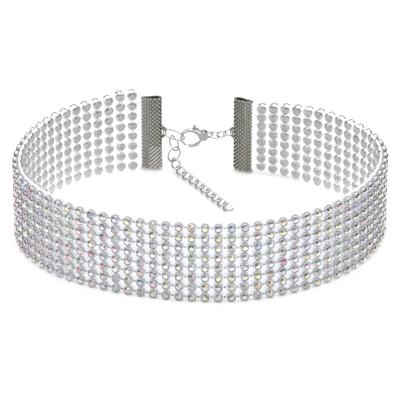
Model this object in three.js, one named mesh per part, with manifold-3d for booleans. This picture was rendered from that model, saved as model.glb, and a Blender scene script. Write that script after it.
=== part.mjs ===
// A wide rhinestone choker standing on its lower edge: eight rows of stones on a clear backing strip,
// a ribbon crimp on each end, a lobster clasp between them and an extender chain on the surface inside.
// Millimetres, +Z up, clasp at the back (+Y), origin under the middle of the part.

import * as THREE from "three";
import { mergeVertices } from "three/addons/utils/BufferGeometryUtils.js";
import Module from "manifold-3d";

const wasm = await Module();
wasm.setup();

// Stone rows
const COLUMNS = 70;
const ROWS = 8;
const COLUMN_PITCH = 4.3;
const ROW_PITCH = 3.76;
const CUP_DIAMETER = 3.3;
const CUP_FLOOR = 0.3;
const STONE_RISE = 1.9;
const TABLE_WIDTH = 2.5;

// Backing strip
const BACKING_THICKNESS = 0.5;
const BACKING_MARGIN = 0.05;
const LAYER_GAP = 0.15;
const END_GAP = 0.9;
const GRIP_LENGTH = 2.4;

// Ribbon crimps
const CRIMP_WIDTH = 7.3;
const RIGHT_CRIMP_TURN = 20;
const CRIMP_HEIGHT = 27.8;
const CRIMP_WALL = 0.45;
const CRIMP_HOLLOW = 1.7;
const RIDGE_RISE = 0.35;
const TOOTH_PITCH = 1.38;
const TOOTH_DEPTH = 0.7;
const TOOTH_FILL = 0.98;
const TAB_REACH = 1.8;
const TAB_BASE = 6.2;
const TAB_TIP = 2.8;
const TAB_THICKNESS = 0.4;
const TAB_HOLE = 1.75;
const TAB_RIM = 0.4;

// Wire links and rings
const FIT_GAP = 0.32;
const LINK_WIRE = 0.65;
const CHAIN_WIRE = 0.75;
const JUMP_LINK_RUN = 6.9;
const JUMP_LINK_WIDTH = 4.4;
const JUMP_ROLL = 24;
const TAIL_RING_RUN = 2.3;
const TAIL_LINK_RUN = 2.4;
const END_LINK_RUN = 2.5;
const TAIL_LINK_WIDTH = 3.4;
const TAIL_ROLL = 20;
const DROP_RING_DIAMETER = 6.1;
const DROP_RING_PLACE = 0.5;
const UPPER_RING_TURN = -55;
const LOWER_RING_TURN = 40;
const CHAIN_LINKS = 10;
const CHAIN_PITCH = 3.75;
const CHAIN_WIDTH = 3.7;
const CHAIN_TWIST = -45;
const CHAIN_ROLL = 35;
const LINK_STEPS = 12;
const WIRE_SIDES = 6;

// Lobster clasp, about its lever's pivot
const HOOK_CENTRE_X = -4.5;
const HOOK_CENTRE_Y = -0.7;
const HOOK_HALF_LENGTH = 3.5;
const HOOK_HALF_HEIGHT = 3.2;
const HOOK_START = 15;
const HOOK_NOSE = 235;
const NOSE_LENGTH = 0.25;
const NOSE_TAPER = 0.6;
const SEAT_ANGLE = 172;
const CHEEK_RADIUS = 1.8;
const CHEEK_SPAN = 2.6;
const SLOT_RADIUS = 1.35;
const SLOT_WIDTH = 1.3;
const GATE_ROOM_FROM = 150;
const GATE_ROOM_TO = 285;
const GATE_ROOM_RADIUS = 3.1;
const THUMB_ROOM_FROM = 88;
const THUMB_ROOM_TO = 150;
const PIN_DIAMETER = 1;
const PIN_LENGTH = 2.9;
const TAIL_X = 2.4;
const TAIL_RADIUS = 1.3;
const TAIL_THICKNESS = 0.7;
const TAIL_HOLE = 1.6;

// Clasp lever
const LEVER_THICKNESS = 1;
const BOSS_RADIUS = 1.15;
const PIN_PLAY = 0.15;
const GATE_WIDTH = 0.9;
const GATE_ROOT = 4;
const GATE_END = 246;
const GATE_REACH = 6.9;
const THUMB_ANGLE = 128;
const THUMB_REACH = 4.7;
const THUMB_WIDTH = 0.7;
const KNOB_DIAMETER = 1.3;

// Heading of the band in plan, from the left crimp round the front to the right crimp
const PLAN_BENDS = [
  { share: 0 / 14, heading: -180 },
  { share: 1 / 14, heading: -148 },
  { share: 2 / 14, heading: -119 },
  { share: 3 / 14, heading: -95 },
  { share: 4 / 14, heading: -59 },
  { share: 5 / 14, heading: -31 },
  { share: 6 / 14, heading: -16 },
  { share: 7 / 14, heading: -4 },
  { share: 8 / 14, heading: 17 },
  { share: 9 / 14, heading: 36 },
  { share: 10 / 14, heading: 60 },
  { share: 11 / 14, heading: 88 },
  { share: 12 / 14, heading: 130 },
  { share: 13 / 14, heading: 154 },
  { share: 14 / 14, heading: 177 },
];

// How far the band's lower and upper edges move near its ends, as shares of its height
const END_SPREAD = [
  { share: 0, low: 0, high: 0.06 },
  { share: 0.02, low: 0, high: 0.06 },
  { share: 0.04, low: 0, high: 0 },
  { share: 0.92, low: 0, high: 0 },
  { share: 0.95, low: 0.02, high: -0.02 },
  { share: 0.98, low: 0.05, high: -0.05 },
  { share: 1, low: 0.08, high: -0.08 },
];

// One leaf of a crimp: how wide the space inside it is, as a share of the hollow, and where it is ridged
const CRIMP_SECTION = [
  { along: 0, open: 0, ridge: 0 },
  { along: 0.2, open: 0, ridge: 0 },
  { along: 0.23, open: 0, ridge: 1 },
  { along: 0.33, open: 0, ridge: 1 },
  { along: 0.37, open: 0.1, ridge: 0 },
  { along: 0.56, open: 0.75, ridge: 0 },
  { along: 0.76, open: 1, ridge: 0 },
  { along: 0.89, open: 0.6, ridge: 0 },
];

// The hook's section round its oval, by the angle from the pivot's side
const HOOK_SECTIONS = [
  { angle: 15, halfWidth: 1.3, halfSpan: 1.3 },
  { angle: 45, halfWidth: 1.2, halfSpan: 1.3 },
  { angle: 70, halfWidth: 0.95, halfSpan: 1.1 },
  { angle: 100, halfWidth: 0.7, halfSpan: 0.8 },
  { angle: 140, halfWidth: 0.55, halfSpan: 0.62 },
  { angle: 180, halfWidth: 0.5, halfSpan: 0.55 },
  { angle: 215, halfWidth: 0.43, halfSpan: 0.5 },
  { angle: 235, halfWidth: 0.28, halfSpan: 0.42 },
];

// Height of the clasp's joints below the crimps' tabs, from the left tab to the right
const CLASP_SAG = { leftTab: 0, hookSeat: 2.4, tailEye: 1.1, ringEnd: 1.4, linkEnd: 0.6, rightTab: 0 };

// The extender's route from under its drop rings: to the right, towards the front, and above the surface
const EXTENDER_ROUTE = [
  { right: 1.3, forward: 2.6, height: 2.7 },
  { right: 3.6, forward: 5.8, height: 1.8 },
  { right: 7.4, forward: 10.7, height: 1.6 },
  { right: 12.6, forward: 19, height: 1.55 },
  { right: 18.4, forward: 28.1, height: 1.5 },
  { right: 21.9, forward: 33.2, height: 1.5 },
];

const bandLength = COLUMNS * COLUMN_PITCH;
const bandHeight = (ROWS - 1) * ROW_PITCH + CUP_DIAMETER + 2 * BACKING_MARGIN;
const crimpMiddle = bandHeight / 2;
const pinchHalf = BACKING_THICKNESS / 2 + LAYER_GAP;
const tabRun = CRIMP_WIDTH + TAB_REACH - TAB_RIM - FIT_GAP / 2;

const radians = THREE.MathUtils.degToRad;
const UP = new THREE.Vector3(0, 0, 1);
const RUN_AXIS = new THREE.Vector3(1, 0, 0);

// A finish for one kind of piece
function finish(color, roughness, metalness) {
  return new THREE.MeshStandardMaterial({ color, roughness, metalness });
}

const crystal = finish(0xdfe3e0, 0.12, 0.1);
const clearStrip = finish(0xe9eef2, 0.35, 0);
const nickel = finish(0xa8a596, 0.4, 0.9);
const silver = finish(0xd8d9da, 0.18, 1);

// A closed geometry from corner points and triangles that share them
function closedGeometry(points, triangles) {
  const geometry = new THREE.BufferGeometry();
  geometry.setAttribute("position", new THREE.Float32BufferAttribute(points.flat(), 3));
  geometry.setIndex(triangles.flat());
  return geometry;
}

// The two triangles of a four-cornered face
function quad(a, b, c, d) {
  return [[a, b, c], [a, c, d]];
}

function solid(geometry) {
  const bare = geometry.clone();
  bare.deleteAttribute("normal");
  bare.deleteAttribute("uv");
  const merged = mergeVertices(bare, 1e-4);
  const vertProperties = new Float32Array(merged.attributes.position.array);
  const triVerts = new Uint32Array(merged.index.array);
  return new wasm.Manifold(new wasm.Mesh({ numProp: 3, vertProperties, triVerts }));
}

function geometryOf(manifold) {
  const mesh = manifold.getMesh();
  const geometry = new THREE.BufferGeometry();
  geometry.setAttribute("position", new THREE.BufferAttribute(mesh.vertProperties, 3));
  geometry.setIndex(new THREE.BufferAttribute(mesh.triVerts, 1));
  return geometry;
}

function piece(name, geometry, material) {
  const faceted = geometry.toNonIndexed();
  faceted.computeVertexNormals();
  const mesh = new THREE.Mesh(faceted, material);
  mesh.name = name;
  return mesh;
}

// A flat plate of an outline, centred on its thickness
function plate(shape, thickness) {
  const geometry = new THREE.ExtrudeGeometry(shape, { depth: thickness, bevelEnabled: false });
  return geometry.translate(0, 0, -thickness / 2);
}

function disc(radius, thickness, x, y, sides = 20) {
  const upright = new THREE.CylinderGeometry(radius, radius, thickness, sides);
  return upright.rotateX(Math.PI / 2).translate(x, y, 0);
}

function polygon(points) {
  return new THREE.Shape(points.map(([x, y]) => new THREE.Vector2(x, y)));
}

// Points of an arc about a centre, both ends in it
function arcPoints(x, y, radius, fromAngle, toAngle, steps) {
  return Array.from({ length: steps + 1 }, (_, step) => {
    const angle = radians(fromAngle + (toAngle - fromAngle) * step / steps);
    return [x + radius * Math.cos(angle), y + radius * Math.sin(angle)];
  });
}

function roundHole(shape, x, y, radius) {
  const sides = 12;
  shape.holes.push(polygon(arcPoints(x, y, radius, 0, 360 - 360 / sides, sides - 1)));
  return shape;
}

// Linear table look-up of one named column by another
function column(rows, key, value) {
  const keys = rows.map((row) => row[key]);
  const look = new THREE.LinearInterpolant(keys, rows.map((row) => row[value]), 1);
  return (at) => look.evaluate(at)[0];
}

// The band's middle line in plan. Turn scales every bend, so a larger turn closes the loop further.
function bandPath(turn) {
  const stepsPerColumn = 6;
  const steps = COLUMNS * stepsPerColumn;
  const shares = PLAN_BENDS.map((row) => row.share);
  const look = new THREE.CubicInterpolant(shares, PLAN_BENDS.map((row) => row.heading), 1);
  const heading = (share) => radians(look.evaluate(share)[0] * turn);
  const places = [{ x: 0, y: 0 }];
  for (let step = 0; step < steps; step += 1) {
    const along = heading((step + 0.5) / steps);
    const last = places[step];
    const advance = bandLength / steps;
    places.push({ x: last.x + Math.cos(along) * advance, y: last.y + Math.sin(along) * advance });
  }
  return (share) => {
    const { x, y } = places[Math.round(share * steps)];
    const along = heading(share);
    return {
      point: new THREE.Vector3(x, y, 0),
      tangent: new THREE.Vector3(Math.cos(along), Math.sin(along), 0),
      outward: new THREE.Vector3(Math.sin(along), -Math.cos(along), 0),
    };
  };
}

// Each crimp's toothed edge, the direction from there to the clasp, and the side that faces outwards
function crimpSeats(path) {
  const first = path(0);
  const last = path(1);
  const leftRun = first.tangent.clone().negate();
  const turned = (vector) => vector.clone().applyAxisAngle(UP, radians(-RIGHT_CRIMP_TURN));
  return {
    left: {
      edge: first.point.clone().addScaledVector(leftRun, END_GAP),
      run: leftRun,
      outward: first.outward,
    },
    right: {
      edge: last.point.clone().addScaledVector(last.tangent, END_GAP),
      run: turned(last.tangent),
      outward: turned(last.outward),
    },
  };
}

function tabContact({ edge, run }) {
  return edge.clone().addScaledVector(run, tabRun).setZ(crimpMiddle);
}

// Where a wire rests inside the hook, and where the tail ring pulls on the eye, in the clasp's plane
function hookSeat() {
  const wall = column(HOOK_SECTIONS, "angle", "halfWidth")(SEAT_ANGLE);
  const inset = wall + FIT_GAP / 2;
  const angle = radians(SEAT_ANGLE);
  return new THREE.Vector2(
    HOOK_CENTRE_X + (HOOK_HALF_LENGTH - inset) * Math.cos(angle),
    HOOK_CENTRE_Y + (HOOK_HALF_HEIGHT - inset) * Math.sin(angle),
  );
}

const tailContact = new THREE.Vector2(TAIL_X + TAIL_HOLE / 2 - FIT_GAP / 2, 0);

// The level distance that each piece of the clasp's run covers between its two joints
function claspSteps() {
  const sag = Object.values(CLASP_SAG);
  const runs = [
    JUMP_LINK_RUN,
    hookSeat().distanceTo(tailContact),
    TAIL_RING_RUN,
    TAIL_LINK_RUN,
    END_LINK_RUN,
  ];
  return runs.map((run, index) => Math.sqrt(run ** 2 - (sag[index + 1] - sag[index]) ** 2));
}

// The turn at which the gap between the two tabs is just what the clasp spans
function closedPath() {
  const wanted = claspSteps().reduce((sum, step) => sum + step, 0);
  let open = 0.9;
  let shut = 1.1;
  for (let halving = 0; halving < 40; halving += 1) {
    const turn = (open + shut) / 2;
    const seats = crimpSeats(bandPath(turn));
    if (tabContact(seats.left).distanceTo(tabContact(seats.right)) > wanted) {
      open = turn;
    } else {
      shut = turn;
    }
  }
  return bandPath((open + shut) / 2);
}

const path = closedPath();
const seats = crimpSeats(path);
const lowShift = column(END_SPREAD, "share", "low");
const highShift = column(END_SPREAD, "share", "high");

// A point of the band by its share of the length, its share of the height and its depth outwards
function bandPoint(share, level, depth) {
  const { point, outward } = path(share);
  const low = bandHeight * lowShift(share);
  const high = bandHeight * (1 + highShift(share));
  const at = point.clone().addScaledVector(outward, depth);
  return [at.x, at.y, low + (high - low) * level];
}

// Levels of the lines between the rows, as shares of the band's height
function rowLines() {
  const lines = [0];
  for (let row = 1; row < ROWS; row += 1) {
    lines.push((BACKING_MARGIN + CUP_DIAMETER / 2 + (row - 0.5) * ROW_PITCH) / bandHeight);
  }
  return [...lines, 1];
}

// One stone in its cup: four corners on the net, rising by eight facets to an eight-sided table
function stoneTable(columnIndex, row) {
  const share = (columnIndex + 0.5) / COLUMNS;
  const level = (BACKING_MARGIN + CUP_DIAMETER / 2 + row * ROW_PITCH) / bandHeight;
  const { tangent } = path(share);
  const [x, y, z] = bandPoint(share, level, pinchHalf + CUP_FLOOR + STONE_RISE);
  const flat = TABLE_WIDTH / 2;
  const corner = flat * Math.tan(Math.PI / 8);
  const outline = [
    [-corner, -flat], [corner, -flat], [flat, -corner], [flat, corner],
    [corner, flat], [-corner, flat], [-flat, corner], [-flat, -corner],
  ];
  return outline.map(([along, up]) => [x + tangent.x * along, y + tangent.y * along, z + up]);
}

function stoneFacets(corners, table) {
  const triangles = [];
  for (let side = 0; side < 4; side += 1) {
    const from = corners[side];
    const to = corners[(side + 1) % 4];
    const first = table[side * 2];
    const second = table[side * 2 + 1];
    triangles.push(...quad(from, to, second, first), [to, table[(side * 2 + 2) % 8], second]);
  }
  for (let fan = 1; fan < 7; fan += 1) {
    triangles.push([table[0], table[fan], table[fan + 1]]);
  }
  return triangles;
}

// All the stones and their cups as one fused sheet in front of the backing strip
function stoneRows() {
  const lines = rowLines();
  const points = [];
  const triangles = [];
  const back = [];
  const front = [];
  const add = (point) => points.push(point) - 1;
  for (let line = 0; line <= COLUMNS; line += 1) {
    const share = line / COLUMNS;
    back.push([add(bandPoint(share, 0, pinchHalf)), add(bandPoint(share, 1, pinchHalf))]);
    front.push(lines.map((level) => add(bandPoint(share, level, pinchHalf + CUP_FLOOR))));
  }
  for (let index = 0; index < COLUMNS; index += 1) {
    const [here, next] = [front[index], front[index + 1]];
    for (let row = 0; row < ROWS; row += 1) {
      const table = stoneTable(index, row).map(add);
      triangles.push(...stoneFacets([here[row], next[row], next[row + 1], here[row + 1]], table));
    }
    const [hereLow, hereHigh] = back[index];
    const [nextLow, nextHigh] = back[index + 1];
    triangles.push(...quad(hereLow, hereHigh, nextHigh, nextLow));
    triangles.push(...quad(hereLow, nextLow, next[0], here[0]));
    triangles.push(...quad(here[ROWS], next[ROWS], nextHigh, hereHigh));
  }
  for (let row = 0; row < ROWS; row += 1) {
    triangles.push([back[0][0], front[0][row], front[0][row + 1]]);
    triangles.push([back[COLUMNS][0], front[COLUMNS][row + 1], front[COLUMNS][row]]);
  }
  triangles.push([back[0][0], front[0][ROWS], back[0][1]]);
  triangles.push([back[COLUMNS][0], back[COLUMNS][1], front[COLUMNS][ROWS]]);
  return closedGeometry(points, triangles);
}

// A strip end held in a crimp, level with the crimp's own ends
function gripStation({ edge, run, outward }, reach) {
  const halfHeight = CRIMP_HEIGHT / 2 - TOOTH_DEPTH;
  return {
    point: edge.clone().addScaledVector(run, reach),
    outward,
    low: crimpMiddle - halfHeight,
    high: crimpMiddle + halfHeight,
  };
}

// The clear strip behind the stones, which runs on into both crimps
function backingStrip() {
  const stations = [gripStation(seats.left, GRIP_LENGTH), gripStation(seats.left, 0)];
  for (let line = 0; line <= COLUMNS; line += 1) {
    const share = line / COLUMNS;
    const { point, outward } = path(share);
    const low = bandHeight * lowShift(share);
    stations.push({ point, outward, low, high: bandHeight * (1 + highShift(share)) });
  }
  stations.push(gripStation(seats.right, 0), gripStation(seats.right, GRIP_LENGTH));
  const half = BACKING_THICKNESS / 2;
  const points = stations.flatMap(({ point, outward, low, high }) => {
    const outer = point.clone().addScaledVector(outward, half);
    const inner = point.clone().addScaledVector(outward, -half);
    return [
      [outer.x, outer.y, low],
      [outer.x, outer.y, high],
      [inner.x, inner.y, high],
      [inner.x, inner.y, low],
    ];
  });
  const triangles = [];
  for (let station = 0; station < stations.length - 1; station += 1) {
    for (let side = 0; side < 4; side += 1) {
      const here = station * 4 + side;
      const beside = station * 4 + ((side + 1) % 4);
      triangles.push(...quad(here, here + 4, beside + 4, beside));
    }
  }
  const last = points.length - 4;
  triangles.push(...quad(0, 1, 2, 3), ...quad(last + 3, last + 2, last + 1, last));
  return closedGeometry(points, triangles);
}

// The crimp's folded sheet in section: both leaves and the spine that joins them
function crimpSection() {
  const hollowHalf = CRIMP_HOLLOW / 2;
  const inner = CRIMP_SECTION.map(({ along, open }) => [
    along * CRIMP_WIDTH,
    pinchHalf + open * (hollowHalf - pinchHalf),
  ]);
  const outer = inner.map(([along, half], index) => [
    along,
    half + CRIMP_WALL + CRIMP_SECTION[index].ridge * RIDGE_RISE,
  ]);
  inner.push([CRIMP_WIDTH - CRIMP_WALL, pinchHalf / 2]);
  outer.push([CRIMP_WIDTH, pinchHalf]);
  const mirror = (points) => points.map(([along, half]) => [along, -half]);
  return polygon([...inner, ...mirror(inner).reverse(), ...mirror(outer), ...outer.reverse()]);
}

// Notches that leave teeth on both leaves where they bite the strip
function toothNotches() {
  const count = Math.floor(CRIMP_HEIGHT / TOOTH_PITCH);
  const start = -(count - 1) / 2 * TOOTH_PITCH;
  const half = TOOTH_PITCH / 2 * TOOTH_FILL;
  const inset = TOOTH_DEPTH / 40;
  const outline = [[-TOOTH_DEPTH, -CRIMP_HEIGHT]];
  for (let index = 0; index < count; index += 1) {
    const middle = start + index * TOOTH_PITCH;
    outline.push([inset, middle - half], [TOOTH_DEPTH, middle], [inset, middle + half]);
  }
  outline.push([-TOOTH_DEPTH, CRIMP_HEIGHT]);
  return plate(polygon(outline), CRIMP_WIDTH).rotateX(Math.PI / 2);
}

// The tab that the clasp's wire goes through, with a round hole
function crimpTab() {
  const root = CRIMP_WIDTH - CRIMP_WALL;
  const tip = CRIMP_WIDTH + TAB_REACH;
  const shape = polygon([
    [root, -TAB_BASE / 2],
    [tip, -TAB_TIP / 2],
    [tip, TAB_TIP / 2],
    [root, TAB_BASE / 2],
  ]);
  roundHole(shape, tip - TAB_RIM - TAB_HOLE / 2, 0, TAB_HOLE / 2);
  return plate(shape, TAB_THICKNESS).rotateX(Math.PI / 2);
}

function crimpEnd() {
  const section = new THREE.ExtrudeGeometry(crimpSection(), { depth: CRIMP_HEIGHT, bevelEnabled: false });
  const sheet = solid(section.translate(0, 0, -CRIMP_HEIGHT / 2));
  return geometryOf(sheet.subtract(solid(toothNotches())).add(solid(crimpTab())));
}

// A link of round wire: an oval centre line of the given length and width, turned about its length by twist
function wireLink(length, width, wire, twist = 0) {
  const centre = (angle) => {
    const along = Math.cos(angle) * length / 2;
    const across = Math.sin(angle) * width / 2;
    const roll = radians(twist) * Math.cos(angle);
    return new THREE.Vector3(along, across * Math.cos(roll), across * Math.sin(roll));
  };
  const points = [];
  const triangles = [];
  const nudge = 1e-3;
  for (let step = 0; step < LINK_STEPS; step += 1) {
    const angle = step / LINK_STEPS * Math.PI * 2;
    const at = centre(angle);
    const tangent = centre(angle + nudge).sub(centre(angle - nudge)).normalize();
    const outward = at.clone().addScaledVector(tangent, -at.dot(tangent)).normalize();
    const beside = new THREE.Vector3().crossVectors(tangent, outward);
    for (let side = 0; side < WIRE_SIDES; side += 1) {
      const around = side / WIRE_SIDES * Math.PI * 2;
      const rim = at.clone().addScaledVector(outward, Math.cos(around) * wire / 2);
      points.push(rim.addScaledVector(beside, Math.sin(around) * wire / 2).toArray());
      const here = step * WIRE_SIDES + side;
      const next = step * WIRE_SIDES + (side + 1) % WIRE_SIDES;
      const total = LINK_STEPS * WIRE_SIDES;
      triangles.push(...quad(here, next, (next + WIRE_SIDES) % total, (here + WIRE_SIDES) % total));
    }
  }
  return closedGeometry(points, triangles);
}

// Lays a piece between two joints, its own x along them, rolled from level about that line
function layBetween(mesh, from, to, roll) {
  const along = to.clone().sub(from).normalize();
  const level = new THREE.Vector3().crossVectors(UP, along).normalize();
  const across = level.applyAxisAngle(along, radians(roll));
  const normal = new THREE.Vector3().crossVectors(along, across);
  mesh.quaternion.setFromRotationMatrix(new THREE.Matrix4().makeBasis(along, across, normal));
  mesh.position.copy(from).add(to).multiplyScalar(0.5);
  return mesh;
}

// The length of a link's centre line when its two joints are this far apart
function centreLength(run, wire) {
  return run + wire + FIT_GAP;
}

// The hook from the cheeks over the top to the nose, as sections along its oval
function hookSweep() {
  const halfWidth = column(HOOK_SECTIONS, "angle", "halfWidth");
  const halfSpan = column(HOOK_SECTIONS, "angle", "halfSpan");
  const steps = 14;
  const sides = 8;
  const points = [];
  const triangles = [];
  const ring = (angle, scale, shift) => {
    const across = Math.cos(radians(angle));
    const up = Math.sin(radians(angle));
    const normal = new THREE.Vector2(HOOK_HALF_HEIGHT * across, HOOK_HALF_LENGTH * up).normalize();
    const x = HOOK_CENTRE_X + HOOK_HALF_LENGTH * across - normal.y * shift;
    const y = HOOK_CENTRE_Y + HOOK_HALF_HEIGHT * up + normal.x * shift;
    for (let side = 0; side < sides; side += 1) {
      const around = (side + 0.5) / sides * Math.PI * 2;
      const out = Math.cos(around) * halfWidth(angle) * scale;
      const beside = Math.sin(around) * halfSpan(angle) * scale;
      points.push([x + normal.x * out, y + normal.y * out, beside]);
    }
  };
  for (let step = 0; step <= steps; step += 1) {
    ring(HOOK_START + (HOOK_NOSE - HOOK_START) * step / steps, 1, 0);
  }
  ring(HOOK_NOSE, NOSE_TAPER, NOSE_LENGTH);
  const rings = steps + 2;
  for (let step = 0; step < rings - 1; step += 1) {
    for (let side = 0; side < sides; side += 1) {
      const here = step * sides + side;
      const next = step * sides + (side + 1) % sides;
      triangles.push(...quad(here, here + sides, next + sides, next));
    }
  }
  const last = (rings - 1) * sides;
  for (let side = 1; side < sides - 1; side += 1) {
    triangles.push([0, side, side + 1], [last, last + side + 1, last + side]);
  }
  return closedGeometry(points, triangles);
}

// A sector about the pivot, for the room that the lever turns in
function sector(fromAngle, toAngle, radius) {
  return plate(polygon([[0, 0], ...arcPoints(0, 0, radius, fromAngle, toAngle, 5)]), SLOT_WIDTH);
}

function claspBody() {
  const root = (SLOT_RADIUS + CHEEK_RADIUS) / 2;
  const end = arcPoints(TAIL_X, 0, TAIL_RADIUS, -90, 90, 8);
  const tail = polygon([[root, -TAIL_RADIUS], ...end, [root, TAIL_RADIUS]]);
  roundHole(tail, TAIL_X, 0, TAIL_HOLE / 2);
  const slot = solid(disc(SLOT_RADIUS, SLOT_WIDTH, 0, 0))
    .add(solid(sector(THUMB_ROOM_FROM, THUMB_ROOM_TO, THUMB_REACH)))
    .add(solid(sector(GATE_ROOM_FROM, GATE_ROOM_TO, GATE_ROOM_RADIUS)));
  const body = solid(hookSweep())
    .add(solid(disc(CHEEK_RADIUS, CHEEK_SPAN, 0, 0)))
    .subtract(slot)
    .add(solid(plate(tail, TAIL_THICKNESS)).subtract(slot))
    .add(solid(disc(PIN_DIAMETER / 2, PIN_LENGTH, 0, 0, 12)));
  return geometryOf(body);
}

// The gate follows the hook's oval from the boss to the nose, and its tip clears the nose as it swings
function gateOutline() {
  const steps = 12;
  const side = (offset) => Array.from({ length: steps + 1 }, (_, step) => {
    const angle = radians(GATE_END + (360 + GATE_ROOT - GATE_END) * step / steps);
    return [
      HOOK_CENTRE_X + (HOOK_HALF_LENGTH + offset) * Math.cos(angle),
      HOOK_CENTRE_Y + (HOOK_HALF_HEIGHT + offset) * Math.sin(angle),
    ];
  });
  return polygon([...side(GATE_WIDTH / 2), ...side(-GATE_WIDTH / 2).reverse()]);
}

function claspLever() {
  const reach = solid(disc(GATE_REACH, LEVER_THICKNESS * 2, 0, 0, 60));
  const gate = solid(plate(gateOutline(), LEVER_THICKNESS));
  const thumb = new THREE.BoxGeometry(THUMB_REACH, THUMB_WIDTH, LEVER_THICKNESS)
    .translate(THUMB_REACH / 2, 0, 0)
    .rotateZ(radians(THUMB_ANGLE));
  const knobX = Math.cos(radians(THUMB_ANGLE)) * THUMB_REACH;
  const knobY = Math.sin(radians(THUMB_ANGLE)) * THUMB_REACH;
  const lever = gate.intersect(reach)
    .add(solid(disc(BOSS_RADIUS, LEVER_THICKNESS, 0, 0, 16)))
    .add(solid(thumb))
    .add(solid(disc(KNOB_DIAMETER / 2, LEVER_THICKNESS, knobX, knobY, 10)))
    .subtract(solid(disc(PIN_DIAMETER / 2 + PIN_PLAY, LEVER_THICKNESS * 2, 0, 0, 16)));
  return geometryOf(lever);
}

// The clasp's joints in its own frame: x along the gap from the left tab, z up
function claspJoints() {
  const sag = Object.values(CLASP_SAG);
  const joints = [new THREE.Vector3(0, 0, 0)];
  claspSteps().forEach((step, index) => {
    joints.push(new THREE.Vector3(joints[index].x + step, 0, -sag[index + 1]));
  });
  return joints;
}

// The hook and its lever, turned so that the pull runs from the hook's seat to the eye
function placeClasp(mesh, seatJoint, eyeJoint) {
  const seat = hookSeat();
  const pull = tailContact.clone().sub(seat).angle();
  const wanted = Math.atan2(eyeJoint.z - seatJoint.z, eyeJoint.x - seatJoint.x);
  mesh.rotation.set(Math.PI / 2, 0, 0);
  mesh.rotateZ(wanted - pull);
  const offset = new THREE.Vector3(seat.x, seat.y, 0).applyQuaternion(mesh.quaternion);
  mesh.position.copy(seatJoint).sub(offset);
  return mesh;
}

// A ring hanging plumb from a wire, its plane turned from the clasp's by turn
function hungRing(name, wirePoint, turn) {
  const centreDiameter = DROP_RING_DIAMETER - LINK_WIRE;
  const ring = piece(name, wireLink(centreDiameter, centreDiameter, LINK_WIRE), silver);
  ring.rotation.set(Math.PI / 2, 0, radians(turn), "ZYX");
  ring.position.copy(wirePoint).addScaledVector(UP, LINK_WIRE + FIT_GAP - centreDiameter / 2);
  return ring;
}

function ringBottom(ring) {
  return ring.position.clone().addScaledVector(UP, -(DROP_RING_DIAMETER - LINK_WIRE) / 2);
}

// The extender's joints: steps of one pitch along its route
function extenderJoints(start) {
  const points = EXTENDER_ROUTE.map(({ right, forward, height }) => (
    new THREE.Vector3(start.x + right, start.y - forward, height)
  ));
  const route = new THREE.CatmullRomCurve3([start, ...points]);
  const fine = route.getSpacedPoints(800);
  const joints = [start];
  for (const point of fine) {
    if (joints.length <= CHAIN_LINKS && point.distanceTo(joints[joints.length - 1]) >= CHAIN_PITCH) {
      joints.push(point);
    }
  }
  return joints;
}

function extender(start) {
  const joints = extenderJoints(start);
  const length = centreLength(CHAIN_PITCH, CHAIN_WIRE);
  return joints.slice(1).map((to, index) => {
    const geometry = wireLink(length, CHAIN_WIDTH - CHAIN_WIRE, CHAIN_WIRE, CHAIN_TWIST);
    const link = piece(`extender_link_${String(index + 1).padStart(2, "0")}`, geometry, silver);
    return layBetween(link, joints[index], to, CHAIN_ROLL);
  });
}

function placeCrimp(name, { edge, run }) {
  const crimp = piece(name, crimpEnd(), nickel);
  const across = new THREE.Vector3().crossVectors(UP, run);
  crimp.quaternion.setFromRotationMatrix(new THREE.Matrix4().makeBasis(run, across, UP));
  crimp.position.copy(edge).setZ(crimpMiddle);
  return crimp;
}

// A link of the clasp's run between two of its joints
function runLink(name, from, to, width, roll) {
  const length = centreLength(from.distanceTo(to), LINK_WIRE);
  return layBetween(piece(name, wireLink(length, width, LINK_WIRE), silver), from, to, roll);
}

// The clasp between the two tabs, and the two rings that the extender hangs by
function claspRun() {
  const from = tabContact(seats.left);
  const along = tabContact(seats.right).sub(from).normalize();
  const across = new THREE.Vector3().crossVectors(UP, along);
  const [leftTab, hook, eye, ringEnd, linkEnd, rightTab] = claspJoints();
  const run = new THREE.Group();
  run.quaternion.setFromRotationMatrix(new THREE.Matrix4().makeBasis(along, across, UP));
  run.position.copy(from);
  const jumpWidth = JUMP_LINK_WIDTH - LINK_WIRE;
  const ringWidth = centreLength(TAIL_RING_RUN, LINK_WIRE);
  const side = new THREE.Vector3(0, -jumpWidth / 2, 0).applyAxisAngle(RUN_AXIS, radians(JUMP_ROLL));
  const nearWire = leftTab.clone().lerp(hook, DROP_RING_PLACE).add(side);
  const upper = hungRing("drop_ring_upper", nearWire, UPPER_RING_TURN);
  run.add(
    runLink("jump_link", leftTab, hook, jumpWidth, JUMP_ROLL),
    placeClasp(piece("lobster_clasp", claspBody(), silver), hook, eye),
    placeClasp(piece("clasp_lever", claspLever(), silver), hook, eye),
    runLink("tail_ring", eye, ringEnd, ringWidth, TAIL_ROLL),
    runLink("tail_link", ringEnd, linkEnd, TAIL_LINK_WIDTH - LINK_WIRE, TAIL_ROLL + 90),
    runLink("end_link", linkEnd, rightTab, TAIL_LINK_WIDTH - LINK_WIRE, TAIL_ROLL),
    upper,
    hungRing("drop_ring_lower", ringBottom(upper), LOWER_RING_TURN),
  );
  run.updateMatrixWorld(true);
  return run;
}

// The chain's first joint: behind the lower ring's wire, where the first link pulls on it
function extenderStart(run) {
  const wire = run.localToWorld(ringBottom(run.getObjectByName("drop_ring_lower")));
  const { right, forward, height } = EXTENDER_ROUTE[0];
  const pull = new THREE.Vector3(right, -forward, height - wire.z).normalize();
  return wire.addScaledVector(pull, -(LINK_WIRE + FIT_GAP) / 2);
}

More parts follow.
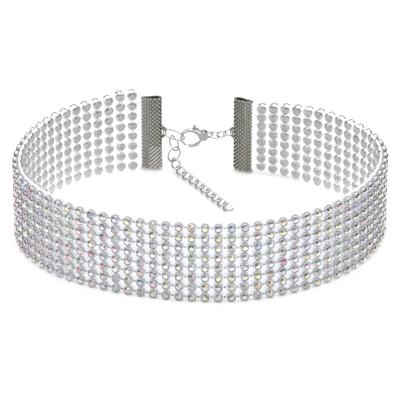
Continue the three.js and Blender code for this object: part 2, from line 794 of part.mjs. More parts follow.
function necklace() {
  const model = new THREE.Group();
  const run = claspRun();
  model.add(
    piece("stone_rows", stoneRows(), crystal),
    piece("backing_strip", backingStrip(), clearStrip),
    placeCrimp("crimp_left", seats.left),
    placeCrimp("crimp_right", seats.right),
    run,
    ...extender(extenderStart(run)),
  );
  const box = new THREE.Box3().setFromObject(model, true);
  const middle = box.getCenter(new THREE.Vector3());
  model.position.set(-middle.x, -middle.y, -box.min.z);
  return model;
}

export default necklace();
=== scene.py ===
import bpy
import numpy as np
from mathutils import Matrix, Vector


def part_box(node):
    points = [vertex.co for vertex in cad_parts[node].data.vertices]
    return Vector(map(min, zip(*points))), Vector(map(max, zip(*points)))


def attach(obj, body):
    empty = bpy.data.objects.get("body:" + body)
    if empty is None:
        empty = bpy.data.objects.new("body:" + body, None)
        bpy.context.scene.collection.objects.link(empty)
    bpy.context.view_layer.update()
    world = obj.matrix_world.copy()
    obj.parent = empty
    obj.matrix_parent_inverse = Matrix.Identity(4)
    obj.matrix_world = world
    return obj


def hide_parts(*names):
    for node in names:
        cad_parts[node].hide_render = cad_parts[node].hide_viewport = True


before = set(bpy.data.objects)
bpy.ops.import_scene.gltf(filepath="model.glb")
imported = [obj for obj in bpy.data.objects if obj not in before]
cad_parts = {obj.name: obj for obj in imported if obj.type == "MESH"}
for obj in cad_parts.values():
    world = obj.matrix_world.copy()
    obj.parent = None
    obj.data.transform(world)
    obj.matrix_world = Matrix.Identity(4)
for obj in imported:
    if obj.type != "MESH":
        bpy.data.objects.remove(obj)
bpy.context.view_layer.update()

# Metres in a millimetre
MM = 0.001

# Sizes of the choker in millimetres and its turns in degrees, as in the part
COLUMNS = 70
ROWS = 8
COLUMN_PITCH = 4.3
ROW_PITCH = 3.76
CUP_RADIUS = 1.65
BACKING_MARGIN = 0.05
STRIP_OUTER = 0.25
END_GAP = 0.9
CRIMP_WIDTH = 7.3
CRIMP_HEIGHT = 27.8
LINK_WIRE = 0.65
CHAIN_WIRE = 0.75
CHAIN_TWIST = -45
LINK_WIDTHS = {"extender": 3.7, "jump_link": 4.4, "tail_link": 3.4, "end_link": 3.4}
RIGHT_CRIMP_TURN = 20
BAND_LENGTH = COLUMNS * COLUMN_PITCH
BAND_HEIGHT = (ROWS - 1) * ROW_PITCH + 2 * CUP_RADIUS + 2 * BACKING_MARGIN

# Headings of the band at evenly spaced bends, and the share of them that closes the loop on its clasp
BEND_HEADINGS = (-180, -148, -119, -95, -59, -31, -16, -4, 17, 36, 60, 88, 130, 154, 177)
BEND_SCALE = 0.97878
STEPS_A_COLUMN = 6

# Shares of the band's length, and how far its two edges rise there as shares of its height
EDGE_PLACES = (0, 0.02, 0.04, 0.92, 0.95, 0.98, 1)
LOWER_EDGE_RISE = (0, 0, 0, 0, 0.02, 0.05, 0.08)
UPPER_EDGE_RISE = (0.06, 0.06, 0, 0, -0.02, -0.05, -0.08)

# Rims of the cup from its back to the stone, of the dome behind it and of the stone: radius and distance
# from the strip's middle, outwards
CUP_SIDES = 12
CUP_PROFILE = ((1.15, 0.42), (1.58, 0.85), (CUP_RADIUS, 1.75), (1.56, 2.02), (1.36, 2.05), (1.24, 1.72))
DOME_PROFILE = ((1.86, -0.2), (1.82, -0.45), (1.5, -0.78), (0.9, -0.98), (0.35, -1.04))
TABLE_SIDES = 8
TABLE_RIM = (0.66, 2.5)
STAR_RIM = (0.98, 2.3)
GIRDLE_RIM = (1.3, 1.86)
BAR_HALF_SIZES = (0.34, 0.3, 0.16)
BAR_DEPTH = 1.25

# Steps of the clasp's remeshed surfaces
CLASP_GRAIN = 0.1
LEVER_GRAIN = 0.09

# The crimps' knurled skin: its section as shares of the crimp's width with half thicknesses, then its relief
SKIN_SHARES = (0.1, 0.17, 0.2, 0.225, 0.335, 0.36, 0.385, 0.56, 0.76, 0.89, 0.95, 0.995)
SKIN_HALVES = (0.85, 0.85, 0.86, 1.2, 1.2, 1.14, 0.90, 1.19, 1.30, 1.12, 0.94, 0.5)
SKIN_STEPS = 170
SKIN_LEVELS = 220
SKIN_MARGIN = 0.02
SKIN_LINING = 0.12
FLANGE_END = 0.19
KNURL_START = 0.385
KNURL_PITCH = 1.5
PLAIN_RISE = 0.06
KNURL_RISE = 0.05
KNURL_DEPTH = 0.4
KNURL_TOP = 0.75
DENT_PITCH = 1.35
DENT_DEPTH = 0.14
LEFT_RIB_LEVEL = -CRIMP_HEIGHT / 5
# Painted shade of the skin: on its plain ridge, on its top and bottom edges, and darkest on its lining
# inside the fold
RIDGE_PAINTED_SHADE = 0.85
EDGE_PAINTED_SHADE = 0.7
LINING_PAINTED_SHADE = 0.3

# Materials: how far roughness strays round its value, and the grain's height as a share of its size
ROUGHNESS_SPREAD = (0.75, 1.3)
GRAIN_HEIGHT = 0.35

# Camera, fitted to the stones' centres
CAMERA_LENS = 293.4
CAMERA_SENSOR = 36
CAMERA_RISE = 29.06
CAMERA_TURN = -0.6
CAMERA_REACH = 1117.4
CAMERA_AIM = (-0.11, -4.04, 15.0)


def grid_faces(rings, sides, close_rings=False):
    """Quads of a grid whose points run round each ring first, every ring closed on itself."""
    ring = np.arange(rings if close_rings else rings - 1)[:, None]
    side = np.arange(sides)[None, :]
    after = (side + 1) % sides
    beyond = (ring + 1) % rings
    corners = (ring * sides + side, ring * sides + after, beyond * sides + after, beyond * sides + side)
    return np.stack(np.broadcast_arrays(*corners), axis=-1).reshape(-1, 4)


def make_piece(name, points, faces, material, smooth=True, tints=None):
    """A piece in metres from points in millimetres and blocks of faces, with a tint a face if given."""
    mesh = bpy.data.meshes.new(name)
    listed = [tuple(face) for block in faces for face in np.asarray(block).tolist()]
    mesh.from_pydata((np.asarray(points) * MM).tolist(), [], listed)
    if smooth:
        mesh.shade_smooth()
    if tints is not None:
        sides = np.array([len(face) for face in listed])
        colours = np.concatenate([tints, np.ones((len(tints), 1))], axis=1)
        layer = mesh.color_attributes.new("tint", "FLOAT_COLOR", "CORNER")
        layer.data.foreach_set("color", np.repeat(colours, sides, axis=0).ravel().astype(np.float32))
    mesh.materials.append(material)
    piece = bpy.data.objects.new(name, mesh)
    bpy.context.scene.collection.objects.link(piece)
    return piece


def bend_heading(share):
    """Heading of the band in radians: a cubic through evenly spaced bends, straight on past its two ends."""
    bends = np.radians(BEND_HEADINGS) * BEND_SCALE
    spans = len(bends) - 1
    place = np.clip(np.asarray(share, float) * spans, 0, spans)
    low = np.minimum(place.astype(int), spans - 1)
    first, last = low == 0, low == spans - 1
    part = place - low
    before = np.where(first, bends[1], bends[np.maximum(low - 1, 0)])
    after = np.where(last, bends[spans - 1], bends[np.minimum(low + 2, spans)])
    pull = np.where(first, -0.5, 0.5)
    push = np.where(last, -0.5, 0.5)
    square, cube = part ** 2, part ** 3
    return ((-pull * cube + 2 * pull * square - pull * part) * before
            + ((1 + pull) * cube - (1.5 + 2 * pull) * square + (pull - 0.5) * part + 1) * bends[low]
            + (-(1 + push) * cube + (1.5 + push) * square + 0.5 * part) * bends[low + 1]
            + (push * cube - push * square) * after)


def walk_band():
    """Points of the band's middle line: equal steps, each along the heading at its own middle."""
    steps = COLUMNS * STEPS_A_COLUMN
    heading = bend_heading((np.arange(steps) + 0.5) / steps)
    stride = np.stack([np.cos(heading), np.sin(heading)], axis=1) * BAND_LENGTH / steps
    line = np.vstack([[0.0, 0.0], np.cumsum(stride, axis=0)])
    outward = np.stack([np.sin(heading), -np.cos(heading)], axis=1) * STRIP_OUTER
    edges = np.vstack([line[:-1] + outward, line[:-1] - outward])
    low, high = (np.array(corner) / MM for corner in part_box("backing_strip"))
    middle = (edges.min(axis=0) + edges.max(axis=0)) / 2
    return line + (low[:2] + high[:2]) / 2 - middle


band_line = walk_band()


def band_frame(share):
    """Middle point, direction along the band and direction outwards at shares of its length."""
    share = np.asarray(share, float)
    places = np.linspace(0, 1, len(band_line))
    x = np.interp(share, places, band_line[:, 0])
    y = np.interp(share, places, band_line[:, 1])
    heading = bend_heading(share)
    flat = np.zeros_like(x)
    along = np.stack([np.cos(heading), np.sin(heading), flat], axis=-1)
    outward = np.stack([np.sin(heading), -np.cos(heading), flat], axis=-1)
    return np.stack([x, y, flat], axis=-1), along, outward


def edge_levels(share):
    """Heights of the band's lower and upper edges, which draw in or spread near the two crimps."""
    low = np.interp(share, EDGE_PLACES, LOWER_EDGE_RISE) * BAND_HEIGHT
    high = (1 + np.interp(share, EDGE_PLACES, UPPER_EDGE_RISE)) * BAND_HEIGHT
    return low, high


def row_seats(shares):
    """Seats of all rows at each share of the length: middle, direction along and direction outwards.

    They run up the rows at one share after another, whose rows are spread between the band's two edges."""
    share, row = (grid.ravel() for grid in np.meshgrid(shares, np.arange(ROWS), indexing="ij"))
    level = (BACKING_MARGIN + CUP_RADIUS + row * ROW_PITCH) / BAND_HEIGHT
    middle, along, outward = band_frame(share)
    low, high = edge_levels(share)
    middle[:, 2] = low + (high - low) * level
    return (middle, along, outward), share


def set_on_seats(shape, seats, spins=None):
    """Copies a small shape, given as along, up and outward, onto every seat, each spun about outward."""
    middle, along, outward = seats
    up = np.array([0.0, 0.0, 1.0])
    a, b, c = shape[:, 0], shape[:, 1], shape[:, 2]
    if spins is None:
        spins = np.zeros(len(middle))
    cos, sin = np.cos(spins)[:, None], np.sin(spins)[:, None]
    across = a * cos - b * sin
    raised = a * sin + b * cos
    return (middle[:, None] + across[..., None] * along[:, None] + raised[..., None] * up
            + c[None, :, None] * outward[:, None]).reshape(-1, 3)


def repeat_faces(faces, points_each, count):
    """The same faces for every copy of a shape, each copy's points following the last one's."""
    faces = np.asarray(faces)
    return (faces[None] + (np.arange(count) * points_each)[:, None, None]).reshape(-1, faces.shape[1])


def copies(points, blocks, seats, spins=None):
    """A small shape on every seat: all points, and each block of its faces repeated for every copy."""
    count = len(seats[0])
    return set_on_seats(points, seats, spins), [repeat_faces(block, len(points), count) for block in blocks]


def rim(size, sides, start=0.0):
    """Points at equal turns round a circle: its size is its radius and its distance from the strip."""
    radius, depth = size
    angle = start + np.arange(sides) * 2 * np.pi / sides
    return np.stack([radius * np.cos(angle), radius * np.sin(angle), np.full(sides, depth)], axis=1)


def turned_shape(profile):
    """A profile of rims turned about the outward axis, with a lid at both ends.

    Its faces run counterclockwise seen from outside where the profile leads away from the strip's front, and
    are turned round where it leads away from the strip's back."""
    points = np.concatenate([rim(size, CUP_SIDES, np.pi / CUP_SIDES) for size in profile])
    walls = grid_faces(len(profile), CUP_SIDES)
    lid = np.arange(CUP_SIDES)
    lids = np.stack([lid[::-1], lid + (len(profile) - 1) * CUP_SIDES])
    if profile[-1][1] < profile[0][1]:
        return points, walls[:, ::-1], lids[:, ::-1]
    return points, walls, lids


def stone_shape():
    """A brilliant's crown: an eight-sided table, star and kite facets, and sixteen facets above the girdle.

    The table's corners stand half a step round from the star's tips, and each tip stands over a corner of
    the girdle, which has twice as many. The underside is flat and hidden in the cup."""
    points = np.concatenate([rim(TABLE_RIM, TABLE_SIDES, np.pi / TABLE_SIDES), rim(STAR_RIM, TABLE_SIDES),
                             rim(GIRDLE_RIM, 2 * TABLE_SIDES)])
    corner = np.arange(TABLE_SIDES)
    next_corner = (corner + 1) % TABLE_SIDES
    tip = TABLE_SIDES + corner
    next_tip = TABLE_SIDES + next_corner
    below = 2 * (TABLE_SIDES + corner)
    next_below = 2 * (TABLE_SIDES + next_corner)
    table = corner[None]
    kites = np.stack([tip, below + 1, next_tip, corner], axis=1)
    star = np.stack([next_tip, next_corner, corner], axis=1)
    upper = np.stack([tip, below, below + 1, below + 1, next_below, next_tip], axis=1).reshape(-1, 3)
    underside = np.arange(2 * TABLE_SIDES, 4 * TABLE_SIDES)[None, ::-1]
    return points, (table, kites, star, upper), underside


def bar_shape():
    """A short flat bar that joins two cups of a row: a box given by its half sizes along, up and outward."""
    corners = np.stack(np.meshgrid((-1, 1), (-1, 1), (-1, 1), indexing="ij"), axis=-1).reshape(-1, 3)
    faces = np.array([(0, 1, 3, 2), (4, 6, 7, 5), (0, 4, 5, 1), (2, 3, 7, 6), (0, 2, 6, 4), (1, 5, 7, 3)])
    return corners * BAR_HALF_SIZES + (0, 0, BAR_DEPTH), faces


# Tints of the coated stones: the colour, and its weights at three places along the band from left to right
COAT_TINTS = {
    "pale": ((0.93, 0.94, 0.94), 0.14, 0.28, 0.24),
    "straw": ((0.96, 0.92, 0.58), 0.13, 0.28, 0.24),
    "pink": ((0.95, 0.64, 0.78), 0.20, 0.12, 0.15),
    "lilac": ((0.76, 0.66, 0.92), 0.16, 0.10, 0.14),
    "mint": ((0.72, 0.93, 0.80), 0.09, 0.11, 0.13),
    "rose": ((0.74, 0.24, 0.42), 0.14, 0.01, 0.02),
    "blue": ((0.50, 0.60, 0.86), 0.06, 0.04, 0.05),
    "amber": ((0.95, 0.66, 0.36), 0.04, 0.04, 0.04),
}
TINT_PLACES = (0.3, 0.5, 0.7)

# Chance of a facet to have its stone's own tint, and how far each is mixed with the palest grey
TINT_SEED = 11
OWN_TINT_SHARE = 0.55
MOST_PALER = 0.5
PALEST = 0.97

# Shades of a facet with their chances, and the darker painted shade of the cup's rim on a stone's upper left
# side
FACET_SHADES = {0.5: 0.12, 0.85: 0.33, 1.0: 0.55}
RIM_PAINTED_SHADES = (0.15, 0.3, 0.55)
PAINTED_SHADE_SIDE = np.radians(112)
PAINTED_SHADE_REACH = (0.55, 0.95)

# Facets whose middle is nearer to the stone's own never get the rim's painted shade
CROWN_RADIUS = 0.9
UNDERSIDE_SHADE = 0.5

# Painted light and shade on a cup's faces, from its back over the wall to the brightest rim and down into
# the dark bezel by the stone
CUP_LIGHT_AND_SHADE = (0.65, 0.6, 0.78, 1.0, 0.36)


def facet_tints(share, turns, rng):
    """A colour a facet: the stone's own tint with some strays, pale or deep, and darkened at its upper left
    by painted shade of the cup's rim.

    Turns are the facets' directions round each stone, a row a stone, and nan for the table and the star."""
    colours = np.array([row[0] for row in COAT_TINTS.values()])
    weights = np.array([row[1:] for row in COAT_TINTS.values()])
    spread = np.stack([np.interp(share, TINT_PLACES, line) for line in weights], axis=1)
    edges = np.cumsum(spread / spread.sum(axis=1, keepdims=True), axis=1)
    own = (rng.random(len(share))[:, None] > edges).sum(axis=1)
    drawn = (rng.random(turns.shape)[..., None] > edges[:, None]).sum(axis=2)
    keep = rng.random(turns.shape) < OWN_TINT_SHARE
    picked = np.minimum(np.where(keep, own[:, None], drawn), len(colours) - 1)
    paler = rng.uniform(0.0, MOST_PALER, size=(*turns.shape, 1))
    tints = colours[picked] * (1 - paler) + PALEST * paler
    shade = rng.choice(list(FACET_SHADES), size=turns.shape, p=list(FACET_SHADES.values()))
    # Painted shade: facets turned towards the upper left, under the cup's rim, take a darker shade
    facing = np.nan_to_num(np.cos(turns - PAINTED_SHADE_SIDE), nan=-1)
    under_painted_shade = facing > rng.uniform(*PAINTED_SHADE_REACH, size=(len(turns), 1))
    return tints * np.where(under_painted_shade, rng.choice(RIM_PAINTED_SHADES, size=turns.shape), shade)[..., None]


def blank_material(name):
    """A new material with its nodes, its links and its shader."""
    material = bpy.data.materials.new(name)
    material.use_nodes = True
    tree = material.node_tree
    return material, tree.nodes, tree.links, tree.nodes["Principled BSDF"]


def noise_material(name, base, roughness, scale, depth, shift, grain_share=7, metallic=1):
    """A metal or plastic whose colour and roughness vary in patches, with a fine grain as bump.

    Scale counts the patches in a metre, and the grain is as many times finer as its share says. Shift is how
    far the colour strays to both sides of the base, and depth is the strength of the grain."""
    material, nodes, links, shader = blank_material(name)
    shader.inputs["Metallic"].default_value = metallic
    place = nodes.new("ShaderNodeTexCoord")
    patches = nodes.new("ShaderNodeTexNoise")
    patches.inputs["Scale"].default_value = scale
    patches.inputs["Detail"].default_value = 4
    links.new(place.outputs["Object"], patches.inputs["Vector"])
    colour = nodes.new("ShaderNodeMix")
    colour.data_type = "RGBA"
    colour.inputs["A"].default_value = (*[channel * (1 - shift) for channel in base], 1)
    colour.inputs["B"].default_value = (*[min(1, channel * (1 + shift)) for channel in base], 1)
    links.new(patches.outputs["Fac"], colour.inputs["Factor"])
    links.new(colour.outputs["Result"], shader.inputs["Base Color"])
    span = nodes.new("ShaderNodeMapRange")
    span.inputs["To Min"].default_value = roughness * ROUGHNESS_SPREAD[0]
    span.inputs["To Max"].default_value = roughness * ROUGHNESS_SPREAD[1]
    links.new(patches.outputs["Fac"], span.inputs["Value"])
    links.new(span.outputs["Result"], shader.inputs["Roughness"])
    grain = nodes.new("ShaderNodeTexNoise")
    grain.inputs["Scale"].default_value = scale * grain_share
    links.new(place.outputs["Object"], grain.inputs["Vector"])
    bump = nodes.new("ShaderNodeBump")
    bump.inputs["Strength"].default_value = depth
    bump.inputs["Distance"].default_value = GRAIN_HEIGHT / (scale * grain_share)
    links.new(grain.outputs["Fac"], bump.inputs["Height"])
    links.new(bump.outputs["Normal"], shader.inputs["Normal"])
    return material


def tinted(material):
    """The same material, its colour multiplied by the piece's own tint."""
    nodes, links = material.node_tree.nodes, material.node_tree.links
    shader = nodes["Principled BSDF"]
    tint = nodes.new("ShaderNodeVertexColor")
    tint.layer_name = "tint"
    multiply = nodes.new("ShaderNodeMix")
    multiply.data_type = "RGBA"
    multiply.blend_type = "MULTIPLY"
    multiply.inputs["Factor"].default_value = 1
    links.new(shader.inputs["Base Color"].links[0].from_socket, multiply.inputs["A"])
    links.new(tint.outputs["Color"], multiply.inputs["B"])
    links.new(multiply.outputs["Result"], shader.inputs["Base Color"])
    return material


def stone_material():
    """Coated glass over foil: the facets' own tints, half mirrored, with a thin film of clear coat."""
    material, nodes, links, shader = blank_material("coated_crystal")
    tint = nodes.new("ShaderNodeVertexColor")
    tint.layer_name = "tint"
    links.new(tint.outputs["Color"], shader.inputs["Base Color"])
    shader.inputs["Metallic"].default_value = 0.55
    shader.inputs["Roughness"].default_value = 0.14
    shader.inputs["Coat Weight"].default_value = 0.8
    shader.inputs["Coat Roughness"].default_value = 0.03
    return material


def strip_material():
    """Clear, slightly milky plastic that lets the cups show through, with a faint painted glow for the light
    that shines through it from behind.
    """
    material = noise_material("clear_strip", (0.95, 0.97, 1.0), roughness=0.3, scale=300, depth=0.1,
                              shift=0.02, metallic=0)
    shader = material.node_tree.nodes["Principled BSDF"]
    shader.inputs["Alpha"].default_value = 0.72
    # Painted light: the strip glows faintly, standing in for light shining through it from behind
    shader.inputs["Emission Color"].default_value = (0.98, 0.98, 1.0, 1)
    shader.inputs["Emission Strength"].default_value = 0.34
    return material


silver_cup = tinted(noise_material("silver_cup", (0.92, 0.92, 0.94), roughness=0.2, scale=900,
                                   depth=0.05, shift=0.06))
cup_back_silver = noise_material("cup_back_silver", (0.96, 0.97, 1.0), roughness=0.16, scale=620,
                                 depth=1.0, shift=0.3, grain_share=1.6)
bar_metal = noise_material("bar_metal", (0.4, 0.42, 0.48), roughness=0.3, scale=900, depth=0.1, shift=0.1)
# Nickel for the crimps' own solids, darkened as painted shade: only their tabs, insides and teeth show, and
# they lie in shadow
nickel = noise_material("shaded_nickel", (0.44, 0.42, 0.37), roughness=0.3, scale=500, depth=0.3, shift=0.1)
knurled_nickel = tinted(noise_material("knurled_nickel", (0.92, 0.90, 0.82), roughness=0.26, scale=700,
                                       depth=0.2, shift=0.05))
bright_silver = noise_material("bright_silver", (0.76, 0.75, 0.73), roughness=0.09, scale=600,
                               depth=0.05, shift=0.06)
crystal = stone_material()
clear_strip = strip_material()


def greys(shades):
    """Shades of grey as colours of three equal channels."""
    return np.repeat(shades[:, None], 3, axis=1)


def dress_cups(seats):
    """The cups in front of the strip, with painted light and shade a ring of faces, and their domed backs
    behind it.
    """
    count = len(seats[0])
    points, walls, lids = turned_shape(CUP_PROFILE)
    # Painted light and shade, ring by ring; both lids take the back's shade
    rings = np.tile(np.repeat(CUP_LIGHT_AND_SHADE, CUP_SIDES), count)
    shades = np.concatenate([rings, np.full(2 * count, CUP_LIGHT_AND_SHADE[0])])
    cups = make_piece("stone_cups", *copies(points, (walls, lids), seats), silver_cup, tints=greys(shades))
    points, walls, lids = turned_shape(DOME_PROFILE)
    backs = make_piece("cup_backs", *copies(points, (walls, lids), seats), cup_back_silver)
    return cups, backs


def dress_crystals(seats, share):
    """The cut stones, each spun by chance about its own axis, with a tint a facet."""
    rng = np.random.default_rng(TINT_SEED)
    points, groups, underside = stone_shape()
    spins = rng.random(len(share)) * 2 * np.pi / TABLE_SIDES
    middles = np.concatenate([points[group].mean(axis=1) for group in groups])
    turns = np.arctan2(middles[:, 1], middles[:, 0])
    turns[np.hypot(middles[:, 0], middles[:, 1]) < CROWN_RADIUS] = np.nan
    tints = facet_tints(share, turns[None] + spins[:, None], rng)
    group_ends = np.cumsum([len(group) for group in groups])[:-1]
    colours = [block.reshape(-1, 3) for block in np.split(tints, group_ends, axis=1)]
    colours.append(np.full((len(share), 3), UNDERSIDE_SHADE))
    return make_piece("cut_stones", *copies(points, (*groups, underside), seats, spins), crystal,
                      smooth=False, tints=np.concatenate(colours))


def dress_bars():
    """The bars between the cups of each row, one at every joint of two columns."""
    seats = row_seats(np.arange(1, COLUMNS) / COLUMNS)[0]
    points, sides = bar_shape()
    return make_piece("cup_bars", *copies(points, (sides,), seats), bar_metal, smooth=False)


def dress_stones():
    """The cups, stones and joining bars of the whole field, in place of the plain field."""
    seats, share = row_seats((np.arange(COLUMNS) + 0.5) / COLUMNS)
    cups, backs = dress_cups(seats)
    for piece in (cups, backs, dress_crystals(seats, share), dress_bars()):
        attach(piece, "band")
    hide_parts("stone_rows")


def link_frame(node):
    """Centre, axes, half sizes of a link's solid: its points' principal directions, longest first."""
    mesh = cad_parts[node].data
    points = np.empty(len(mesh.vertices) * 3)
    mesh.vertices.foreach_get("co", points)
    points = np.unique(points.reshape(-1, 3).round(7), axis=0) / MM
    centre = points.mean(axis=0)
    spread, axes = np.linalg.eigh(np.cov((points - centre).T))
    axes = axes[:, np.argsort(spread)[::-1]].T
    axes[2] = np.cross(axes[0], axes[1])
    half = np.abs((points - centre) @ axes.T).max(axis=0)
    return centre, axes, half


def wire_ring(length, width, wire, twist, steps=40, sides=12):
    """Round wire along an oval centre line, which turns about its own length from end to end."""
    def centre(angle):
        """Middle points of the wire: an ellipse, rolled one way at one end and back at the other."""
        roll = twist * np.cos(angle)
        across = np.sin(angle) * width / 2
        return np.stack([np.cos(angle) * length / 2, across * np.cos(roll), across * np.sin(roll)], axis=-1)

    angle = np.arange(steps) / steps * 2 * np.pi
    at = centre(angle)
    nudge = 1e-3
    tangent = centre(angle + nudge) - centre(angle - nudge)
    tangent /= np.linalg.norm(tangent, axis=1, keepdims=True)
    outward = at - (at * tangent).sum(axis=1, keepdims=True) * tangent
    outward /= np.linalg.norm(outward, axis=1, keepdims=True)
    beside = np.cross(tangent, outward)
    around = (np.arange(sides) / sides * 2 * np.pi)[None, :, None]
    skin = np.cos(around) * outward[:, None] + np.sin(around) * beside[:, None]
    points = (at[:, None] + skin * wire / 2).reshape(-1, 3)
    return points, grid_faces(steps, sides, close_rings=True)


def dress_links():
    """Every link and ring as round wire, in place of its faceted solid."""
    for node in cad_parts:
        if not node.startswith(("extender", "jump", "tail_", "end_", "drop")):
            continue
        in_chain = node.startswith("extender")
        wire = CHAIN_WIRE if in_chain else LINK_WIRE
        centre, axes, half = link_frame(node)
        wide = next((size for key, size in LINK_WIDTHS.items() if node.startswith(key)), 2 * half[0])
        twist = np.radians(CHAIN_TWIST) if in_chain else 0
        points, faces = wire_ring(2 * half[0] - wire, wide - wire, wire, twist)
        link = make_piece("round_" + node, centre + points @ axes, [faces], bright_silver)
        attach(link, "band")
        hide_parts(node)


def dress_clasp_piece(node, body, grain):
    """A solid as cast and tumbled metal: remeshed finely, its edges worn round, its faces shaded smooth."""
    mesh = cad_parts[node].data.copy()
    mesh.materials.clear()
    mesh.materials.append(bright_silver)
    piece = bpy.data.objects.new("polished_" + node, mesh)
    bpy.context.scene.collection.objects.link(piece)
    weld = piece.modifiers.new("weld", "WELD")
    weld.merge_threshold = 1e-6
    remesh = piece.modifiers.new("remesh", "REMESH")
    remesh.mode = "VOXEL"
    remesh.voxel_size = grain * MM
    remesh.use_smooth_shade = True
    wear = piece.modifiers.new("wear", "SMOOTH")
    wear.factor = 0.5
    wear.iterations = 9
    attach(piece, body)
    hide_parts(node)


def knurl_rise(from_spine, levels, pitch, ribbed):
    """Height of the knurl between 0 and 1: the lower of two triangle waves, which run at 45 degrees to the
    crimp's height and cross, or one of them alone where it is ribbed."""
    one_way = np.abs(((from_spine + levels) / pitch) % 1 - 0.5) * 2
    other_way = np.abs(((from_spine - levels) / pitch) % 1 - 0.5) * 2
    return np.where(ribbed, one_way, np.minimum(one_way, other_way))


def skin_section():
    """Points of the skin's section, their outward normals, and each one's way along the sheet to its fold.

    The section follows the folded sheet from the teeth over the spine to the teeth of the other leaf, in
    equal steps."""
    along = np.array(SKIN_SHARES) * CRIMP_WIDTH
    half = np.array(SKIN_HALVES)
    corners = np.concatenate([np.stack([along, half], 1), np.stack([along, -half], 1)[::-1]])
    reach = np.concatenate([[0], np.cumsum(np.linalg.norm(np.diff(corners, axis=0), axis=1))])
    where = np.linspace(0, reach[-1], SKIN_STEPS)
    base = np.stack([np.interp(where, reach, corners[:, k]) for k in (0, 1)], axis=1)
    slope = np.gradient(base, axis=0)
    slope /= np.linalg.norm(slope, axis=1, keepdims=True)
    normal = np.stack([-slope[:, 1], slope[:, 0]], axis=1)
    return base, normal, where - reach[-1] / 2


def skin_relief(share, from_fold, levels, rib_level):
    """Rise and shade of the skin: pyramids between ridge and fold, the ridge plain, dents along the flange.

    The pyramids' tips are cut off, their gaps get a near black painted shade, and so do the flange's gaps
    between its dents."""
    knurl = knurl_rise(from_fold, levels, KNURL_PITCH, levels < rib_level)
    dent = np.abs((levels / DENT_PITCH) % 1 - 0.5) * 2
    knurled = share > KNURL_START
    flange = share < FLANGE_END
    rise = np.where(knurled, KNURL_RISE + KNURL_DEPTH * np.minimum(knurl, KNURL_TOP), PLAIN_RISE)
    rise = rise + np.where(flange, DENT_DEPTH * dent, 0)
    # Painted shade: dark in the knurl's gaps and between the flange's dents
    shade = np.where(knurled, 0.01 + 0.99 * np.clip(3.4 * knurl - 0.9, 0, 1), RIDGE_PAINTED_SHADE)
    shade = np.where(flange, 0.03 + 0.75 * np.clip(2 * dent - 0.5, 0, 1), shade)
    return rise, shade


def crimp_skin(name, edge, run, rib_level):
    """The rolled surface over both leaves of a crimp, a closed shell of its relief and a plain lining.

    The section is carried straight up the crimp's height, from its edge along its run. Under the rib level
    the knurl has ribs in place of pyramids."""
    base, normal, from_fold = skin_section()
    reach = CRIMP_HEIGHT / 2 - SKIN_MARGIN
    levels = np.linspace(-reach, reach, SKIN_LEVELS)[None]
    share = base[:, :1] / CRIMP_WIDTH
    rise, shade = skin_relief(share, from_fold[:, None], levels, rib_level)
    outer = base[:, None] + normal[:, None] * rise[..., None]
    inner = np.repeat((base - normal * SKIN_LINING)[:, None], levels.size, axis=1)
    loop = np.concatenate([outer, inner[::-1]], axis=0)
    across = np.array([-run[1], run[0], 0.0])
    points = (np.array([*edge, BAND_HEIGHT / 2]) + loop[..., 0][..., None] * np.array([*run, 0.0])
              + loop[..., 1][..., None] * across + levels[..., None] * np.array([0, 0, 1.0]))
    total = len(loop)
    faces = grid_faces(levels.size, total)
    start = np.arange(SKIN_STEPS - 1)
    lower = np.stack([start, total - 1 - start, total - 2 - start, start + 1], axis=1)
    upper = lower[:, ::-1] + (levels.size - 1) * total
    # Painted shade on the lining inside the fold and on the skin's top and bottom edges
    lining = np.full((levels.size - 1, SKIN_STEPS), LINING_PAINTED_SHADE)
    side = np.concatenate([shade.T[:-1], lining], axis=1).ravel()
    tints = np.concatenate([side, np.full(2 * len(start), EDGE_PAINTED_SHADE)])
    outwards = [block[:, ::-1] for block in (faces, lower, upper)]
    return make_piece(name, points.transpose(1, 0, 2).reshape(-1, 3), outwards, knurled_nickel,
                      tints=greys(tints))


def dress_crimps():
    """Both crimps' knurled surfaces, and the crimps' own solids in nickel darkened as painted shade."""
    heading_left, heading_right = bend_heading(0.0), bend_heading(1.0)
    left_run = -np.array([np.cos(heading_left), np.sin(heading_left)])
    last = np.array([np.cos(heading_right), np.sin(heading_right)])
    turn = np.radians(-RIGHT_CRIMP_TURN)
    right_run = np.array([last[0] * np.cos(turn) - last[1] * np.sin(turn),
                          last[0] * np.sin(turn) + last[1] * np.cos(turn)])
    seats = {"crimp_left": (band_line[0] + left_run * END_GAP, left_run, LEFT_RIB_LEVEL),
             "crimp_right": (band_line[-1] + last * END_GAP, right_run, -CRIMP_HEIGHT)}
    for node, (edge, run, rib_level) in seats.items():
        skin = crimp_skin(node + "_knurl", edge, run, rib_level)
        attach(skin, "band")
        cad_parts[node].data.materials[0] = nickel


# Shades of the floor in mirrors, from the middle out to its reach in metres, and of the sky, from below up
MIRRORED_FLOOR = ((0.17, (0.42, 0.42, 0.42)), (0.25, (0.95, 0.95, 0.95)), (0.55, (0.95, 0.95, 0.95)),
                  (0.95, (0.05, 0.05, 0.06)))
MIRRORED_FLOOR_REACH = 0.25
SKY = ((0.2, (0.03, 0.03, 0.04)), (0.62, (1, 1, 1)))
FLOOR_REACH = 3.0


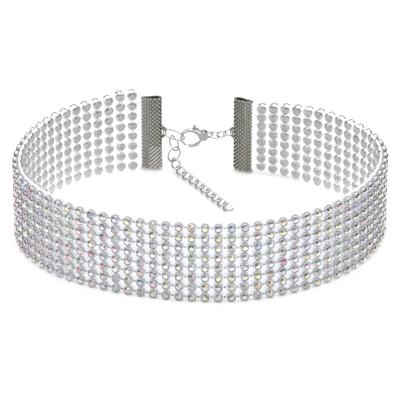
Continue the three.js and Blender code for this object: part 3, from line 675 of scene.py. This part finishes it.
def set_up_camera():
    """A long lens at the photograph's height, looking along the floor's depth at the middle of the band."""
    rise, turn = np.radians(CAMERA_RISE), np.radians(CAMERA_TURN)
    aim = np.array(CAMERA_AIM)
    back = np.array([-np.sin(turn) * np.cos(rise), -np.cos(turn) * np.cos(rise), np.sin(rise)])
    place = aim + CAMERA_REACH * back
    camera = bpy.data.cameras.new("camera")
    camera.lens = CAMERA_LENS
    camera.sensor_width = CAMERA_SENSOR
    camera.clip_start = 0.01
    seat = bpy.data.objects.new("camera", camera)
    seat.location = place * MM
    seat.rotation_euler = (np.pi / 2 - rise, 0, -turn)
    bpy.context.scene.collection.objects.link(seat)
    bpy.context.scene.camera = seat


def area_light(name, place, size, power):
    """A square white softbox at a place in metres, turned towards the middle of the floor."""
    data = bpy.data.lights.new(name, "AREA")
    data.size = size
    data.energy = power
    lamp = bpy.data.objects.new(name, data)
    lamp.location = place
    x, y, z = place
    lamp.rotation_euler = (np.arctan2(np.hypot(x, y), z), 0, np.arctan2(y, x) + np.pi / 2)
    bpy.context.scene.collection.objects.link(lamp)


def set_stops(ramp, stops):
    """Gives a colour ramp its stops, each a place and a colour."""
    elements = ramp.color_ramp.elements
    for element, end in ((elements[0], stops[0]), (elements[1], stops[-1])):
        element.position = end[0]
        element.color = (*end[1], 1)
    for place, colour in stops[1:-1]:
        elements.new(place).color = (*colour, 1)


def mirror_only_shade(material):
    """Greys and darkens the floor in mirrors alone, as a dark room does, while the camera sees it white.

    The shade follows the distance from the middle: grey inside the loop, bright round it, dark far out."""
    nodes, links = material.node_tree.nodes, material.node_tree.links
    rays = nodes.new("ShaderNodeLightPath")
    place = nodes.new("ShaderNodeTexCoord")
    distance = nodes.new("ShaderNodeVectorMath")
    distance.operation = "LENGTH"
    links.new(place.outputs["Object"], distance.inputs[0])
    span = nodes.new("ShaderNodeMapRange")
    span.inputs["From Max"].default_value = MIRRORED_FLOOR_REACH
    links.new(distance.outputs["Value"], span.inputs["Value"])
    rings = nodes.new("ShaderNodeValToRGB")
    set_stops(rings, MIRRORED_FLOOR)
    links.new(span.outputs["Result"], rings.inputs["Fac"])
    seen = nodes.new("ShaderNodeMix")
    seen.data_type = "RGBA"
    seen.inputs["A"].default_value = (1, 1, 1, 1)
    links.new(rings.outputs["Color"], seen.inputs["B"])
    links.new(rays.outputs["Is Glossy Ray"], seen.inputs["Factor"])
    links.new(seen.outputs["Result"], nodes["Principled BSDF"].inputs["Base Color"])
    links.new(seen.outputs["Result"], nodes["Principled BSDF"].inputs["Emission Color"])


def light_room():
    """A pale floor, a soft overhead light with two side fills, and a sky that darkens to the horizon."""
    mesh = bpy.data.meshes.new("floor")
    corners = np.array([(-1, -1, 0), (1, -1, 0), (1, 1, 0), (-1, 1, 0)]) * FLOOR_REACH
    mesh.from_pydata(corners.tolist(), [], [(0, 1, 2, 3)])
    floor = bpy.data.objects.new("floor", mesh)
    bpy.context.scene.collection.objects.link(floor)
    pale = bpy.data.materials.new("pale_floor")
    pale.use_nodes = True
    shader = pale.node_tree.nodes["Principled BSDF"]
    mirror_only_shade(pale)
    shader.inputs["Emission Strength"].default_value = 0.2
    shader.inputs["Roughness"].default_value = 0.9
    shader.inputs["Specular IOR Level"].default_value = 0.1
    mesh.materials.append(pale)
    area_light("overhead", (0.0, 0.1, 1.2), size=1.4, power=6.0)
    area_light("left_fill", (-1.1, -0.5, 0.7), size=0.6, power=1.2)
    area_light("right_fill", (1.1, -0.3, 0.6), size=0.5, power=0.8)
    world = bpy.data.worlds.new("studio")
    bpy.context.scene.world = world
    world.use_nodes = True
    nodes, links = world.node_tree.nodes, world.node_tree.links
    place = nodes.new("ShaderNodeTexCoord")
    split = nodes.new("ShaderNodeSeparateXYZ")
    ramp = nodes.new("ShaderNodeValToRGB")
    set_stops(ramp, SKY)
    links.new(place.outputs["Generated"], split.inputs["Vector"])
    links.new(split.outputs["Z"], ramp.inputs["Fac"])
    links.new(ramp.outputs["Color"], nodes["Background"].inputs["Color"])
    nodes["Background"].inputs["Strength"].default_value = 0.9
    bpy.context.scene.view_settings.view_transform = "Standard"


set_up_camera()
light_room()
dress_stones()
dress_links()
dress_crimps()
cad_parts["backing_strip"].data.materials[0] = clear_strip
dress_clasp_piece("lobster_clasp", "band", CLASP_GRAIN)
dress_clasp_piece("clasp_lever", "lever", LEVER_GRAIN)
